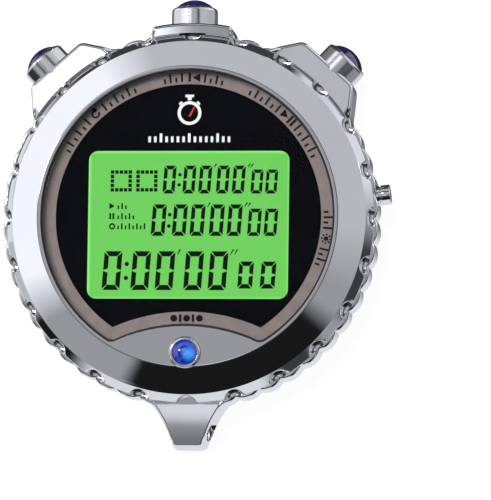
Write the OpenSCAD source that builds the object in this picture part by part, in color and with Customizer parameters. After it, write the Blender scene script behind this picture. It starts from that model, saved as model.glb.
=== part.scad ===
// Digital hand-held stopwatch in a chromed metal case, lying on its back.
// The origin is on the dial axis at the rear face of the screwed back cover.
// +Z points out of the dial, +Y points to the recall button, and sizes are millimetres.

/* [Case] */
// Radius of the knurl crests around the case
crest_r = 30.9; // [30.7:0.1:31.2]
// Number of knurl lobes around the case
lobe_count = 48; // [24:24:48]
// Radius of each knurl lobe
lobe_r = 3.5; // [3.2:0.1:3.8]
// Height where the knurled band starts
band_z0 = 2.3; // [2.1:0.1:2.6]
// Height of the case's front rim, where the bezel sits
rim_z = 9.0; // [8.9:0.1:9.1]
// Radius of the movement cavity
cavity_r = 26.8; // [26.6:0.1:26.9]
// Radius of the back opening behind the battery
back_opening_r = 20.8; // [20:0.1:21]
// Radius of the bottom edge of the tapered back
heel_r = 27.4; // [27:0.1:28]

/* [Bezel] */
// Outer radius of the bezel's flange
flange_r = 30.3; // [30.1:0.1:30.4]
// Radius where the steep band meets the sloping face
shoulder_r = 29.0; // [28.8:0.1:29.4]
// Height of the shoulder
shoulder_z = 11.2; // [11:0.1:11.4]
// Inner radius of the sloping face
face_r = 24.5; // [24.3:0.1:24.7]
// Height of the bezel's front
bezel_top = 13.0; // [12.9:0.1:13.1]
// Number of scoops around the flange
scoop_count = 24; // [12:12:24]
// Radius of the arch that closes the dial at the bottom
arch_r = 27.4; // [27:0.1:28]
// Distance of the arch's centre below the dial axis
arch_drop = 45.25; // [45:0.05:45.5]

/* [Dial] */
// Radius of the lens opening
opening_r = 24.0; // [23.9:0.05:24.1]
// Radius where the printed ring meets the black dial
dial_r = 21.75; // [21.5:0.05:22]
// Width of the display window
window_w = 32.9; // [32:0.1:33.5]
// Height of the display window
window_h = 24.2; // [23.5:0.1:25]
// Middle of the display window along Y
window_y = -1.3; // [-1.6:0.1:-1]

/* [Push buttons] */
// Direction of the start and stop button
start_angle = 46.4; // [45:0.2:48]
// Direction of the lap and reset button
lap_angle = 133.6; // [132:0.2:135]
// Direction of the recall button
recall_angle = 90; // [90:1:90]
// Radius of the chrome caps
cap_r = 3.8; // [3.6:0.05:3.85]
// Radius of the rim of the two side caps from the dial axis
side_rim_r = 36.8; // [36.6:0.1:37]
// Radius of the rim of the recall cap from the dial axis
recall_rim_r = 35.05; // [34.9:0.05:35.2]
// Height of the button axes above the rear face
button_z = 5.75; // [5.7:0.05:5.8]
// Travel of the three crown buttons
crown_travel = 1.0; // [0.8:0.1:1]

/* [Small buttons] */
// Direction of the light button
light_angle = 7.5; // [7.5:0.5:7.5]
// Radius of the light button's head
light_r = 1.65; // [1.5:0.05:1.7]
// Distance of the light button's end from the dial axis
light_end_r = 32.9; // [32.7:0.1:33]
// Distance of the mode button below the dial axis
mode_drop = 22.3; // [22.1:0.1:22.4]
// Radius of the mode button's chrome rim
mode_r = 2.5; // [2.4:0.05:2.55]

/* [Lanyard lug] */
// Distance of the lug's end from the dial axis
lug_end = 37.8; // [37.6:0.1:38]
// Distance of the cross bore from the dial axis
lug_bore_y = 34.6; // [34.4:0.1:34.7]
// Height of the cross bore
lug_bore_z = 5.5; // [5.3:0.1:5.8]
// Radius of the cross bore
lug_bore_r = 1.5; // [1.3:0.1:1.5]
// Half of the distance between the bore's two spot faces
lug_spot_x = 3.1; // [3:0.05:3.2]

/* [Hidden] */
$fn = 96;
eps = 0.05;

// Radial gaps: a running fit for each moving stem or cap
stem_gap = 0.05;
cap_gap = 0.07;

// Vertical stack of the movement
cover_t = 1.2;
heel_z = 0.35;
ledge_top = 3.2;
battery_z = 2.2;
battery_t = 3.2;
board_z = 5.9;
board_t = 0.8;
frame_z0 = 7.0;
backlight_z = 7.2;
backlight_t = 0.7;
cell_z = 8.0;
cell_t = 1.8;
film_t = 0.2;
web_z = 9.9;
dial_z = 10.75;
dial_t = 0.35;
lens_z = 11.15;
lens_top = 12.6;

// Plan sizes of the movement
board_r = 23.0;
cell_w = 37;
cell_h = 29;
zebra_w = 34;
zebra_t = 1.6;
zebra_y = 13.2;
battery_r = 10;
battery_y = -6.5;
buzzer_y = 8.5;
buzzer_r = 8;
buzzer_t = 0.3;
buzzer_spring_x = 3.5;

// Bezel section
ledge_r = 22.9;
spigot_r = 26.7;
spigot_inner_r = 25.2;
spigot_z = 8.2;
lip_z = 9.5;
gasket_w = 0.3;
arch_ledge = 1.2;
arch_band = 2.35;

// Bosses that carry the crown buttons
boss_turn = 2.1;
boss_r = 34.0;
boss_half = 5.5;
boss_foot_half = 9.2;
boss_foot_r = 28.9;
boss_round = 1.5;
boss_z0 = 1.5;
boss_z1 = 10.0;
recall_boss_r = 32.2;
recall_boss_half_angle = 11.4;
recall_foot_angle = 13.9;

// Crown button, measured along its own axis
cap_len = 4.6;
// The recall cap sits close to the bezel, so its skirt is cut short to clear the flange when pressed
recall_skirt_cut = 1.0;
spring_well_r = 2.4;
pocket_r = 2.9;
pocket_depth = 2.4;
stem_r = 1.1;
stem_seat = 0.9;
dome_seat = 0.5;
dome_r = 3.2;
dome_h = 1.4;
cap_round = 0.7;
counterbore_extra = 0.3;
stem_end_r = 24.65;
clip_r0 = 26.3;
clip_t = 0.3;
clip_r = 1.9;
clip_groove_r = 0.75;
seal_groove_r = 0.8;
seal_w = 0.33;
side_seal_r = 28.7;
recall_seal_r = 28.4;

// Light button
light_len = 2.7;
light_stem_r = 0.6;
light_travel = 0.8;
light_floor_r = 28.6;
light_clip_r = 1.1;
light_groove_r = 0.4;

// Mode button
mode_base_z = 12.3;
mode_rim_z = 13.35;
mode_top_z = 14.0;
mode_dome_r = 2.0;
mode_stem_r = 0.9;
mode_stem_z = 7.95;
mode_floor_z = 11.0;
mode_clip_z = 9.5;
mode_clip_r = 1.6;
mode_groove_r = 0.6;
mode_seal_z = 10.45;

// Switch leaves stand just inside the stems
leaf_r = 23.3;
leaf_t = 0.25;

// Screws
back_screw_r = 23.4;
back_screw_angles = [45, 135, 225, 315];
board_screw_r = 20.6;
board_screw_angles = [28, 152, 208, 332];

// Outline of one half of the lug, from its root to its end
lug_half = [[6.9, 29.0], [6.6, 30.0], [5.9, 31.0], [4.8, 32.5], [4.05, 34.0], [3.2, 36.0], [2.85, 37.1]];
lug_z0 = 2.5;
lug_root = 28.5;
lug_step = 0.1;
lug_corner = 0.7;

// ---------- helpers ----------

// Points of an arc about a centre, from one angle to another
function arc(c, r, a0, a1, n) =
    [for (i = [0:n]) let (a = a0 + (a1 - a0) * i / n) [c[0] + r * cos(a), c[1] + r * sin(a)]];

function mirrored(points) = [for (i = [len(points) - 1:-1:0]) [-points[i][0], points[i][1]]];

// Turns a shape built along +Z so that it points outwards at an angle around the case
module radial(angle, z = button_z) {
    rotate([0, 0, angle]) translate([0, 0, z]) rotate([0, 90, 0]) children();
}

// Cylinder between two heights
module post(r, z0, z1) {
    translate([0, 0, z0]) cylinder(r = r, h = z1 - z0);
}

// Flat ring between two heights
module washer(r_out, r_in, z0, z1) {
    difference() {
        post(r_out, z0, z1);
        post(r_in, z0 - 1, z1 + 1);
    }
}

// Disc about the arch's centre between two heights
module arch_disc(r, z0, z1) {
    translate([0, -arch_drop, 0]) post(r, z0, z1);
}

// Full disc with the arch cut out of its lower side
module dial_disc(r, arch, z0, z1) {
    difference() {
        post(r, z0, z1);
        arch_disc(arch, z0 - 1, z1 + 1);
    }
}

// Box centred in X and Y
module slab(w, h, x, y, z0, z1) {
    translate([x - w / 2, y - h / 2, z0]) cube([w, h, z1 - z0]);
}

// Rectangle with rounded corners, as a plate
module round_plate(w, h, r, y, z0, z1) {
    slab(w - 2 * r, h, 0, y, z0, z1);
    slab(w, h - 2 * r, 0, y, z0, z1);
    for (sx = [-1, 1], sy = [-1, 1])
        translate([sx * (w / 2 - r), y + sy * (h / 2 - r), 0]) post(r, z0, z1);
}

// Spherical cap on a short cylinder, standing on z0
module cabochon(r, z0, z1, z2) {
    sphere_r = (r * r + (z2 - z1) * (z2 - z1)) / (2 * (z2 - z1));
    intersection() {
        post(r, z0, z2 + 1);
        translate([0, 0, z2 - sphere_r]) sphere(r = sphere_r);
    }
}

// Helical compression spring standing on z0
module coil(r, wire, turns, z0, z1, sides = 6, per_turn = 16) {
    steps = turns * per_turn;
    pts = [for (i = [0:steps], j = [0:sides - 1])
        let (a = 360 * turns * i / steps, b = 360 * j / sides, q = r + wire * cos(b))
        [q * cos(a), q * sin(a), z0 + wire + (z1 - z0 - 2 * wire) * i / steps + wire * sin(b)]];
    skin = [for (i = [0:steps - 1], j = [0:sides - 1])
        let (k = (j + 1) % sides)
        [i * sides + j, i * sides + k, (i + 1) * sides + k, (i + 1) * sides + j]];
    start_face = [[for (j = [sides - 1:-1:0]) j]];
    end_face = [[for (j = [0:sides - 1]) steps * sides + j]];
    polyhedron(points = pts, faces = concat(skin, start_face, end_face), convexity = 10);
}

// ---------- case ----------

// Scalloped ring: one arc per lobe, from valley to valley
module knurled_band() {
    centre_r = crest_r - lobe_r;
    step = 360 / lobe_count;
    half_chord = centre_r * sin(step / 2);
    reach = asin(half_chord / lobe_r) + step / 2;
    translate([0, 0, band_z0])
        linear_extrude(height = rim_z - band_z0)
            polygon([for (i = [0:lobe_count - 1])
                let (a = (i + 0.5) * step, c = [centre_r * cos(a), centre_r * sin(a)], n = 6)
                for (k = [0:n - 1]) arc(c, lobe_r, a - reach, a + reach, n)[k]]);
}

// Block under each side button, with a flat outer face and rounded corners
module side_boss(angle) {
    lean = atan2(boss_r - boss_foot_r, boss_foot_half - boss_half);
    shift = boss_round * tan(lean / 2);
    corner = arc([boss_half - shift, boss_r - boss_round], boss_round, 90 - lean, 90, 8);
    half = concat([[boss_foot_half, boss_foot_r]], corner);
    rotate([0, 0, angle - 90])
        translate([0, 0, boss_z0])
            linear_extrude(height = boss_z1 - boss_z0)
                polygon(concat(half, mirrored(half), [[-7, cavity_r - 2], [7, cavity_r - 2]]));
}

module recall_boss() {
    flank = [for (s = [-1, 1]) [s * 40 * sin(recall_boss_half_angle - 2.4), 40 * cos(recall_boss_half_angle - 2.4)]];
    foot = [for (s = [-1, 1]) [s * flange_r * sin(recall_foot_angle), flange_r * cos(recall_foot_angle)]];
    intersection() {
        post(recall_boss_r, boss_z0, boss_z1);
        translate([0, 0, boss_z0])
            linear_extrude(height = boss_z1 - boss_z0)
                polygon([[0, 20], foot[1], flank[1], flank[0], foot[0]]);
    }
}

module lug() {
    tip = arc([2.85 - lug_corner, lug_end - lug_corner], lug_corner, 0, 90, 6);
    half = concat(lug_half, tip);
    translate([0, 0, lug_z0])
        mirror([0, 1, 0])
            linear_extrude(height = rim_z - lug_step - lug_z0)
                polygon(concat([[6.9, lug_root]], half, mirrored(half), [[-6.9, lug_root]]));
}

// Counterbore and guide bore for a crown button whose cap rim is at rim_r.
// A button with a cut skirt has a shallower counterbore, with a narrow well below it for the spring.
module crown_bores(angle, rim_r, skirt_cut = 0) {
    floor_r = rim_r - cap_len - crown_travel - counterbore_extra;
    radial(angle) {
        post(cap_r + cap_gap, floor_r + skirt_cut, rim_r);
        if (skirt_cut > 0)
            post(spring_well_r, floor_r, floor_r + skirt_cut + eps);
        post(stem_r + stem_gap, cavity_r - 2, rim_r - cap_len);
    }
}

module mid_case() {
    color("silver")
    difference() {
        union() {
            knurled_band();
            translate([0, 0, heel_z])
                cylinder(r1 = heel_r, r2 = heel_r + 2, h = band_z0 - heel_z + eps);
            difference() {
                union() {
                    side_boss(start_angle + boss_turn);
                    side_boss(lap_angle - boss_turn);
                    recall_boss();
                }
                post(flange_r + 0.15, rim_z, boss_z1 + 1);
            }
            lug();
        }
        post(cavity_r, ledge_top, boss_z1 + 1);
        post(back_opening_r, -1, boss_z1);
        post(26.0, -1, cover_t);
        washer(22.4, 21.6, cover_t - eps, cover_t + 0.6);
        for (a = back_screw_angles)
            rotate([0, 0, a]) translate([back_screw_r, 0, 0]) post(0.7, 0, ledge_top - 0.2);
        crown_bores(start_angle, side_rim_r);
        crown_bores(lap_angle, side_rim_r);
        crown_bores(recall_angle, recall_rim_r, recall_skirt_cut);
        radial(light_angle) {
            post(light_r + cap_gap, light_floor_r, light_end_r);
            post(light_stem_r + stem_gap, cavity_r - 2, light_end_r);
        }
        translate([0, -lug_bore_y, lug_bore_z]) rotate([0, 90, 0]) {
            post(lug_bore_r, -8, 8);
            post(lug_bore_r + 0.5, lug_spot_x, 8);
            post(lug_bore_r + 0.5, -8, -lug_spot_x);
        }
    }
}

module front_bezel() {
    sag = 0.28;
    face = [for (i = [0:8]) let (t = i / 8)
        [shoulder_r + (face_r - shoulder_r) * t,
         shoulder_z + (bezel_top - shoulder_z) * t + sag * 4 * t * (1 - t)]];
    color("gainsboro")
    difference() {
        union() {
            rotate_extrude()
                polygon(concat(
                    [[spigot_r, spigot_z], [spigot_r, rim_z], [flange_r, rim_z], [flange_r, lip_z]],
                    face,
                    [[opening_r, bezel_top - 0.5], [opening_r, dial_z], [ledge_r, dial_z],
                     [ledge_r, web_z], [spigot_inner_r, web_z], [spigot_inner_r, spigot_z]]));
            intersection() {
                post(opening_r + 0.3, web_z, bezel_top);
                arch_disc(arch_r, web_z, bezel_top);
            }
            intersection() {
                post(ledge_r + 0.3, web_z, dial_z);
                arch_disc(arch_r + arch_ledge, web_z, dial_z);
            }
        }
        for (i = [0:scoop_count - 1])
            rotate([0, 0, i * 360 / scoop_count])
                translate([flange_r + 1.0, 0, rim_z - 0.2]) cylinder(r1 = 2.1, r2 = 1.2, h = 1.5);
        translate([0, -mode_drop, 0]) {
            post(mode_r + cap_gap, mode_floor_z, bezel_top + 1);
            post(mode_stem_r + stem_gap, web_z - 1, bezel_top);
        }
    }
}

// ---------- window and dial ----------

module lens_gasket() {
    color("dimgray")
    difference() {
        dial_disc(opening_r, arch_r, lens_z, lens_top - 0.15);
        dial_disc(opening_r - gasket_w, arch_r + gasket_w, lens_z - 1, lens_top + 1);
    }
}

module lens() {
    color("lightblue", 0.35)
    dial_disc(opening_r - gasket_w, arch_r + gasket_w, lens_z, lens_top);
}

module dial_ring() {
    color("rosybrown")
    difference() {
        dial_disc(opening_r - gasket_w, arch_r + gasket_w, dial_z, dial_z + dial_t);
        dial_disc(dial_r, arch_r + arch_band, dial_z - 1, dial_z + 1);
    }
}

module dial_plate() {
    color("black")
    difference() {
        dial_disc(dial_r, arch_r + arch_band, dial_z, dial_z + dial_t);
        round_plate(window_w, window_h, 1.5, window_y, dial_z - 1, dial_z + 1);
    }
}

module lcd_film() {
    color("palegreen")
    slab(window_w + 1.6, window_h + 1.6, 0, window_y, cell_z + cell_t, cell_z + cell_t + film_t);
}

module lcd_cell() {
    color("limegreen")
    slab(cell_w, cell_h, 0, window_y, cell_z, cell_z + cell_t);
}

module backlight_panel() {
    color("yellowgreen")
    slab(zebra_w, 22.6, 0, window_y, backlight_z, backlight_z + backlight_t);
}

module zebra_strips() {
    color("pink")
    for (s = [-1, 1])
        slab(zebra_w, zebra_t, 0, window_y + s * zebra_y, board_z + board_t, cell_z);
}

// ---------- movement ----------

module module_frame() {
    leg_h = frame_z0 - board_z - board_t;
    color("ivory")
    difference() {
        union() {
            post(spigot_inner_r - 0.1, frame_z0, web_z - eps);
            dial_disc(ledge_r - 0.2, arch_r + arch_ledge + 0.2, web_z - eps, dial_z - eps);
            for (a = board_screw_angles)
                rotate([0, 0, a]) translate([board_screw_r, 0, 0]) post(1.6, frame_z0 - leg_h, frame_z0 + eps);
        }
        slab(window_w + 1.8, window_h + 1.8, 0, window_y, frame_z0 - 1, dial_z + 1);
        slab(cell_w + 0.2, cell_h + 0.2, 0, window_y, cell_z - eps, cell_z + cell_t + eps);
        slab(zebra_w + 0.2, 2 * zebra_y + zebra_t + 0.2, 0, window_y, frame_z0 - 1, cell_z);
        translate([0, -mode_drop, 0]) post(2.2, frame_z0 - 1, dial_z + 1);
        for (a = board_screw_angles)
            rotate([0, 0, a]) translate([board_screw_r, 0, 0]) post(0.5, frame_z0 - 2, frame_z0 + 0.9);
    }
}

module circuit_board() {
    color("darkgreen")
    difference() {
        post(board_r, board_z, board_z + board_t);
        for (a = board_screw_angles)
            rotate([0, 0, a]) translate([board_screw_r, 0, 0]) post(0.6, board_z - 1, board_z + 2);
    }
}

module chip_cover() {
    color("black")
    translate([0, 4, board_z + board_t]) cylinder(r1 = 4.5, r2 = 3.4, h = 0.45);
}

module quartz_can() {
    color("silver")
    translate([-14.5, 5, board_z - 1.05]) rotate([-90, 0, 0]) cylinder(r = 1.0, h = 6);
}

module board_components() {
    color("tan") {
        for (x = [-17, -15.2, 13.5, 15.3, 17.1])
            slab(0.9, 1.7, x, 0, board_z - 0.6, board_z);
        for (y = [6, 8.2, 10.4])
            slab(2.0, 1.2, 14.5, y, board_z - 0.9, board_z);
    }
}

// Upright spring leaves behind the radial stems and a dome under the mode stem
module switch_contacts() {
    color("gold") {
        for (a = [lap_angle, recall_angle, start_angle, light_angle])
            rotate([0, 0, a]) slab(leaf_t, 3.0, leaf_r + leaf_t / 2, 0, 4.4, 7.0);
        for (a = [lap_angle, recall_angle, start_angle, light_angle])
            rotate([0, 0, a])
                slab(leaf_r - board_r, 3.0, (leaf_r + board_r) / 2, 0, board_z, board_z + 0.4);
        translate([0, -mode_drop + 0.8, 0]) post(1.3, board_z + board_t, board_z + board_t + 0.6);
    }
}

module battery() {
    color("lightgray")
    translate([0, battery_y, 0]) {
        post(battery_r, battery_z, battery_z + battery_t - 0.5);
        post(battery_r - 1.2, battery_z, battery_z + battery_t);
    }
}

module battery_clip() {
    color("khaki") {
        slab(2 * battery_r + 2.2, 3.5, 0, battery_y, battery_z - 0.3, battery_z);
        for (s = [-1, 1])
            slab(0.3, 3.5, s * (battery_r + 0.95), battery_y, battery_z - 0.3, board_z);
    }
}

module battery_contact() {
    color("goldenrod")
    slab(6, 4, 0, battery_y, battery_z + battery_t, board_z);
}

module board_screws() {
    color("gray")
    for (a = board_screw_angles)
        rotate([0, 0, a]) translate([board_screw_r, 0, 0])
            difference() {
                union() {
                    post(1.1, board_z - 0.7, board_z);
                    post(0.5, board_z - 0.1, frame_z0 + 0.8);
                }
                slab(1.5, 0.3, 0, 0, board_z - 1, board_z - 0.4);
                slab(0.3, 1.5, 0, 0, board_z - 1, board_z - 0.4);
            }
}

// ---------- back ----------

module back_cover() {
    color("lightsteelblue")
    difference() {
        rotate_extrude()
            polygon([[0, 0], [25.5, 0], [25.9, 0.3], [25.9, cover_t], [0, cover_t]]);
        for (a = back_screw_angles)
            rotate([0, 0, a]) translate([back_screw_r, 0, 0]) {
                post(0.8, -1, cover_t + 1);
                post(1.45, -1, 0.65);
            }
    }
}

module back_gasket() {
    color("black")
    rotate_extrude() translate([22.0, cover_t + 0.3]) circle(r = 0.29, $fn = 24);
}

module back_screws() {
    color("gray")
    for (a = back_screw_angles)
        rotate([0, 0, a]) translate([back_screw_r, 0, 0])
            difference() {
                union() {
                    post(1.4, 0.1, 0.65);
                    post(0.7, 0.6, 2.8);
                }
                slab(1.8, 0.35, 0, 0, -1, 0.4);
                slab(0.35, 1.8, 0, 0, -1, 0.4);
            }
}

module buzzer_disc() {
    color("gold")
    translate([0, buzzer_y, 0]) {
        post(buzzer_r, cover_t, cover_t + buzzer_t);
        post(buzzer_r - 2, cover_t, cover_t + buzzer_t + 0.15);
    }
}

module buzzer_springs() {
    color("gold")
    for (s = [-1, 1])
        translate([s * buzzer_spring_x, buzzer_y, 0])
            coil(0.8, 0.15, 6, cover_t + buzzer_t + 0.15, board_z);
}

// ---------- crown buttons ----------

// Chrome cap with a spring pocket below and a seat for the cabochon on top
module crown_cap(angle, rim_r, skirt_cut = 0) {
    edge = arc([cap_r - cap_round, cap_len - cap_round], cap_round, 0, 90, 8);
    color("whitesmoke")
    radial(angle) translate([0, 0, rim_r - cap_len])
        rotate_extrude()
            polygon(concat(
                [[pocket_r, skirt_cut], [cap_r, skirt_cut]],
                edge,
                [[dome_r, cap_len], [dome_r, cap_len - dome_seat], [0, cap_len - dome_seat],
                 [0, pocket_depth + stem_seat], [stem_r, pocket_depth + stem_seat],
                 [stem_r, pocket_depth], [pocket_r, pocket_depth]]));
}

module crown_cabochon(angle, rim_r) {
    color("midnightblue")
    radial(angle) cabochon(dome_r - 0.01, rim_r - dome_seat, rim_r, rim_r + dome_h);
}

module crown_stem(angle, rim_r, seal_r) {
    color("gray")
    radial(angle)
        difference() {
            post(stem_r, stem_end_r, rim_r - cap_len + pocket_depth + stem_seat);
            washer(stem_r + 1, seal_groove_r, seal_r - seal_w / 2 - 0.05, seal_r + seal_w / 2 + 0.05);
            washer(stem_r + 1, clip_groove_r, clip_r0, clip_r0 + clip_t);
        }
}

module crown_seal(angle, seal_r) {
    color("black")
    radial(angle) translate([0, 0, seal_r])
        rotate_extrude() translate([seal_groove_r + seal_w / 2, 0]) circle(r = seal_w / 2, $fn = 24);
}

module snap_clip(angle, r) {
    color("dimgray")
    radial(angle)
        difference() {
            washer(r, clip_groove_r, clip_r0, clip_r0 + clip_t);
            slab(r + 1, 0.9, (r + 1) / 2, 0, clip_r0 - 1, clip_r0 + 1);
        }
}

module crown_spring(angle, rim_r) {
    base = rim_r - cap_len;
    color("silver")
    radial(angle)
        coil(2.0, 0.25, 4, base - crown_travel - counterbore_extra, base + pocket_depth);
}

module lap_cap() { crown_cap(lap_angle, side_rim_r); }
module lap_cabochon() { crown_cabochon(lap_angle, side_rim_r); }
module lap_stem() { crown_stem(lap_angle, side_rim_r, side_seal_r); }
module lap_seal() { crown_seal(lap_angle, side_seal_r); }
module lap_clip() { snap_clip(lap_angle, clip_r); }
module lap_spring() { crown_spring(lap_angle, side_rim_r); }

module recall_cap() { crown_cap(recall_angle, recall_rim_r, recall_skirt_cut); }
module recall_cabochon() { crown_cabochon(recall_angle, recall_rim_r); }
module recall_stem() { crown_stem(recall_angle, recall_rim_r, recall_seal_r); }
module recall_seal() { crown_seal(recall_angle, recall_seal_r); }
module recall_clip() { snap_clip(recall_angle, clip_r); }
module recall_spring() { crown_spring(recall_angle, recall_rim_r); }

module start_cap() { crown_cap(start_angle, side_rim_r); }
module start_cabochon() { crown_cabochon(start_angle, side_rim_r); }
module start_stem() { crown_stem(start_angle, side_rim_r, side_seal_r); }
module start_seal() { crown_seal(start_angle, side_seal_r); }
module start_clip() { snap_clip(start_angle, clip_r); }
module start_spring() { crown_spring(start_angle, side_rim_r); }

// ---------- light button ----------

module light_cap() {
    head = light_end_r - light_len;
    color("whitesmoke")
    radial(light_angle)
        difference() {
            union() {
                post(light_stem_r, stem_end_r - 0.2, head + eps);
                post(light_r, head, light_end_r - 0.2);
                post(light_r - 0.2, head, light_end_r);
            }
            washer(light_r + 1, light_r - 0.2, light_end_r - 1.8, light_end_r - 1.5);
            washer(light_stem_r + 1, light_groove_r, clip_r0, clip_r0 + clip_t);
            washer(light_stem_r + 1, light_groove_r, 27.9, 28.2);
        }
}

module light_seal() {
    color("black")
    radial(light_angle) translate([0, 0, 28.05])
        rotate_extrude() translate([light_groove_r + 0.11, 0]) circle(r = 0.11, $fn = 24);
}

module light_clip() {
    color("dimgray")
    radial(light_angle)
        difference() {
            washer(light_clip_r, light_groove_r, clip_r0, clip_r0 + clip_t);
            slab(light_clip_r + 1, 0.5, (light_clip_r + 1) / 2, 0, clip_r0 - 1, clip_r0 + 1);
        }
}

module light_spring() {
    color("silver")
    radial(light_angle)
        coil(1.2, 0.12, 4, light_floor_r, light_end_r - light_len);
}

// ---------- mode button ----------

module mode_cap() {
    color("whitesmoke")
    translate([0, -mode_drop, 0])
        difference() {
            union() {
                post(mode_stem_r, mode_stem_z, mode_base_z + eps);
                rotate_extrude()
                    polygon(concat([[0, mode_base_z], [mode_r, mode_base_z]],
                                   arc([mode_r - 0.2, mode_rim_z - 0.2], 0.2, 0, 90, 5),
                                   [[0, mode_rim_z]]));
            }
            post(mode_dome_r, mode_rim_z - 0.3, mode_rim_z + 1);
            washer(1.95, 1.15, mode_base_z - 1, mode_base_z + 0.5);
            washer(mode_stem_r + 1, mode_groove_r, mode_clip_z, mode_clip_z + clip_t);
            washer(mode_stem_r + 1, 0.62, mode_seal_z - 0.18, mode_seal_z + 0.18);
        }
}

module mode_cabochon() {
    color("royalblue")
    translate([0, -mode_drop, 0])
        cabochon(mode_dome_r - 0.01, mode_rim_z - 0.3, mode_rim_z, mode_top_z);
}

module mode_seal() {
    color("black")
    translate([0, -mode_drop, mode_seal_z])
        rotate_extrude() translate([0.77, 0]) circle(r = 0.15, $fn = 24);
}

module mode_clip() {
    color("dimgray")
    translate([0, -mode_drop, 0])
        difference() {
            washer(mode_clip_r, mode_groove_r, mode_clip_z, mode_clip_z + clip_t);
            slab(0.8, mode_clip_r + 1, 0, (mode_clip_r + 1) / 2, mode_clip_z - 1, mode_clip_z + 1);
        }
}

module mode_spring() {
    color("silver")
    translate([0, -mode_drop, 0])
        coil(1.55, 0.15, 3, mode_floor_z, mode_base_z + 0.5);
}

mid_case();
front_bezel();
lens_gasket();
lens();
dial_ring();
dial_plate();
lcd_film();
lcd_cell();
backlight_panel();
zebra_strips();
module_frame();
circuit_board();
chip_cover();
quartz_can();
board_components();
switch_contacts();
battery();
battery_clip();
battery_contact();
board_screws();
back_cover();
back_gasket();
back_screws();
buzzer_disc();
buzzer_springs();
lap_cap();
lap_cabochon();
lap_stem();
lap_seal();
lap_clip();
lap_spring();
recall_cap();
recall_cabochon();
recall_stem();
recall_seal();
recall_clip();
recall_spring();
start_cap();
start_cabochon();
start_stem();
start_seal();
start_clip();
start_spring();
light_cap();
light_seal();
light_clip();
light_spring();
mode_cap();
mode_cabochon();
mode_seal();
mode_clip();
mode_spring();
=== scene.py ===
"""Looks of a chromed digital stopwatch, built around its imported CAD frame.

Lengths in this file are millimetres, as on the drawing, and every mesh is scaled to metres when it is made.
+Z points out of the dial, +Y to the recall button, and the origin is on the dial axis at the rear face.
"""
import math

import bmesh
import bpy
import numpy as np
from mathutils import Matrix, Quaternion, Vector


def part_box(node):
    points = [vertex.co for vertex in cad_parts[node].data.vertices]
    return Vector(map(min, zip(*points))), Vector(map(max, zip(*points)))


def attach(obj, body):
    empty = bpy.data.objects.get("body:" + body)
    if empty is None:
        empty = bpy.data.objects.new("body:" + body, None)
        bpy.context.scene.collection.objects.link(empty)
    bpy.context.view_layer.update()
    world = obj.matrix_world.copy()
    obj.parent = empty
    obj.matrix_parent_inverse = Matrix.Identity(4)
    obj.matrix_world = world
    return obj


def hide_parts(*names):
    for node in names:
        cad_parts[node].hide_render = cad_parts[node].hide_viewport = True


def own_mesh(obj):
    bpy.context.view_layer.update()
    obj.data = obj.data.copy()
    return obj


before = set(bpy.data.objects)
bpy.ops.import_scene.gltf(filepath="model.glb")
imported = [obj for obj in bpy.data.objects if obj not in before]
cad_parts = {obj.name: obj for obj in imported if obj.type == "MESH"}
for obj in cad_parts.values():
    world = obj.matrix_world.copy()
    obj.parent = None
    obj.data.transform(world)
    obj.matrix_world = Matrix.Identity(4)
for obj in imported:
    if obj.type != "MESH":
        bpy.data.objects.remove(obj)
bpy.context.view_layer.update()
bpy.context.scene.view_settings.view_transform = "Standard"

MM = 0.001


def low(node):
    """Lowest corner of a CAD node in millimetres."""
    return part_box(node)[0] / MM


def high(node):
    """Highest corner of a CAD node in millimetres."""
    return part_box(node)[1] / MM


# ---------------------------------------------------------------- driving sizes, from the frame
RIM_Z = 9.0
FLANGE_R = high("front_bezel").x
BEZEL_TOP = high("front_bezel").z
SPIGOT_Z = low("front_bezel").z
HEEL_Z = low("mid_case").z
BOSS_TOP = high("mid_case").z
LUG_END = -low("mid_case").y
COVER_T = high("back_cover").z
COVER_R = high("back_cover").x
DIAL_Z = high("dial_plate").z
DIAL_BACK = low("dial_plate").z
DIAL_R = high("dial_plate").x
LENS_Z = low("lens").z
LENS_TOP = high("lens").z
LENS_R = high("lens").x
FILM_TOP = high("lcd_film").z
BUTTON_Z = (low("lap_cap").z + high("lap_cap").z) / 2
CAP_R = (high("recall_cap").x - low("recall_cap").x) / 2
MODE_Y = (low("mode_cap").y + high("mode_cap").y) / 2
MODE_R = high("mode_cap").x
MODE_TOP = high("mode_cabochon").z
MODE_RIM = high("mode_cap").z

# Sizes that the frame's boxes don't hold
SHOULDER_R, SHOULDER_Z = 29.0, 11.2
LIP_Z = 9.5
SPIGOT_R, SPIGOT_IN, WEB_Z = 26.7, 25.2, 9.9
FACE_R, FACE_SAG = 24.5, 0.05
OPENING_R = 24.0
ARCH_R, ARCH_DROP = 27.4, 45.25
ARCH_BAND = 2.35
CORNER_R = 1.7
GASKET_W = 0.3
CREST_R, LOBE_R, LOBES = 30.88, 3.5, 48
SCOOPS, SCOOP_R, SCOOP_OUT = 24, 1.85, 30.95
START, LAP, RECALL, LIGHT = 46.4, 133.6, 90.0, 7.5
BOSS_TURN = 2.1
WINDOW_W, WINDOW_H, WINDOW_Y = 32.9, 24.2, -1.3
SIDE_RIM, RECALL_RIM, CAP_LEN, SKIRT_CUT = 36.8, 35.05, 4.6, 1.0
BOSS_R, BOSS_HALF, BOSS_FOOT, BOSS_FOOT_R = 34.0, 5.5, 9.2, 28.9
RECALL_BOSS_R = 32.2
BOSS_SLOPE = 0.13
LUG_LEAN = 0.6
LUG_HALF, LUG_CORNER, LUG_SHORT = 3.15, 1.4, 0.12
DIMPLE_AT, DIMPLE_LONG, DIMPLE_WIDE, DIMPLE_DEEP = 29.8, 0.85, 1.3, 0.26
HEEL_R, WALL_R, BOSS_WALL_R = 27.4, 28.9, 30.42
WALL_FOOT, EDGE_TOP, EDGE_LOW = 2.3, 0.42, 0.5
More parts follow.
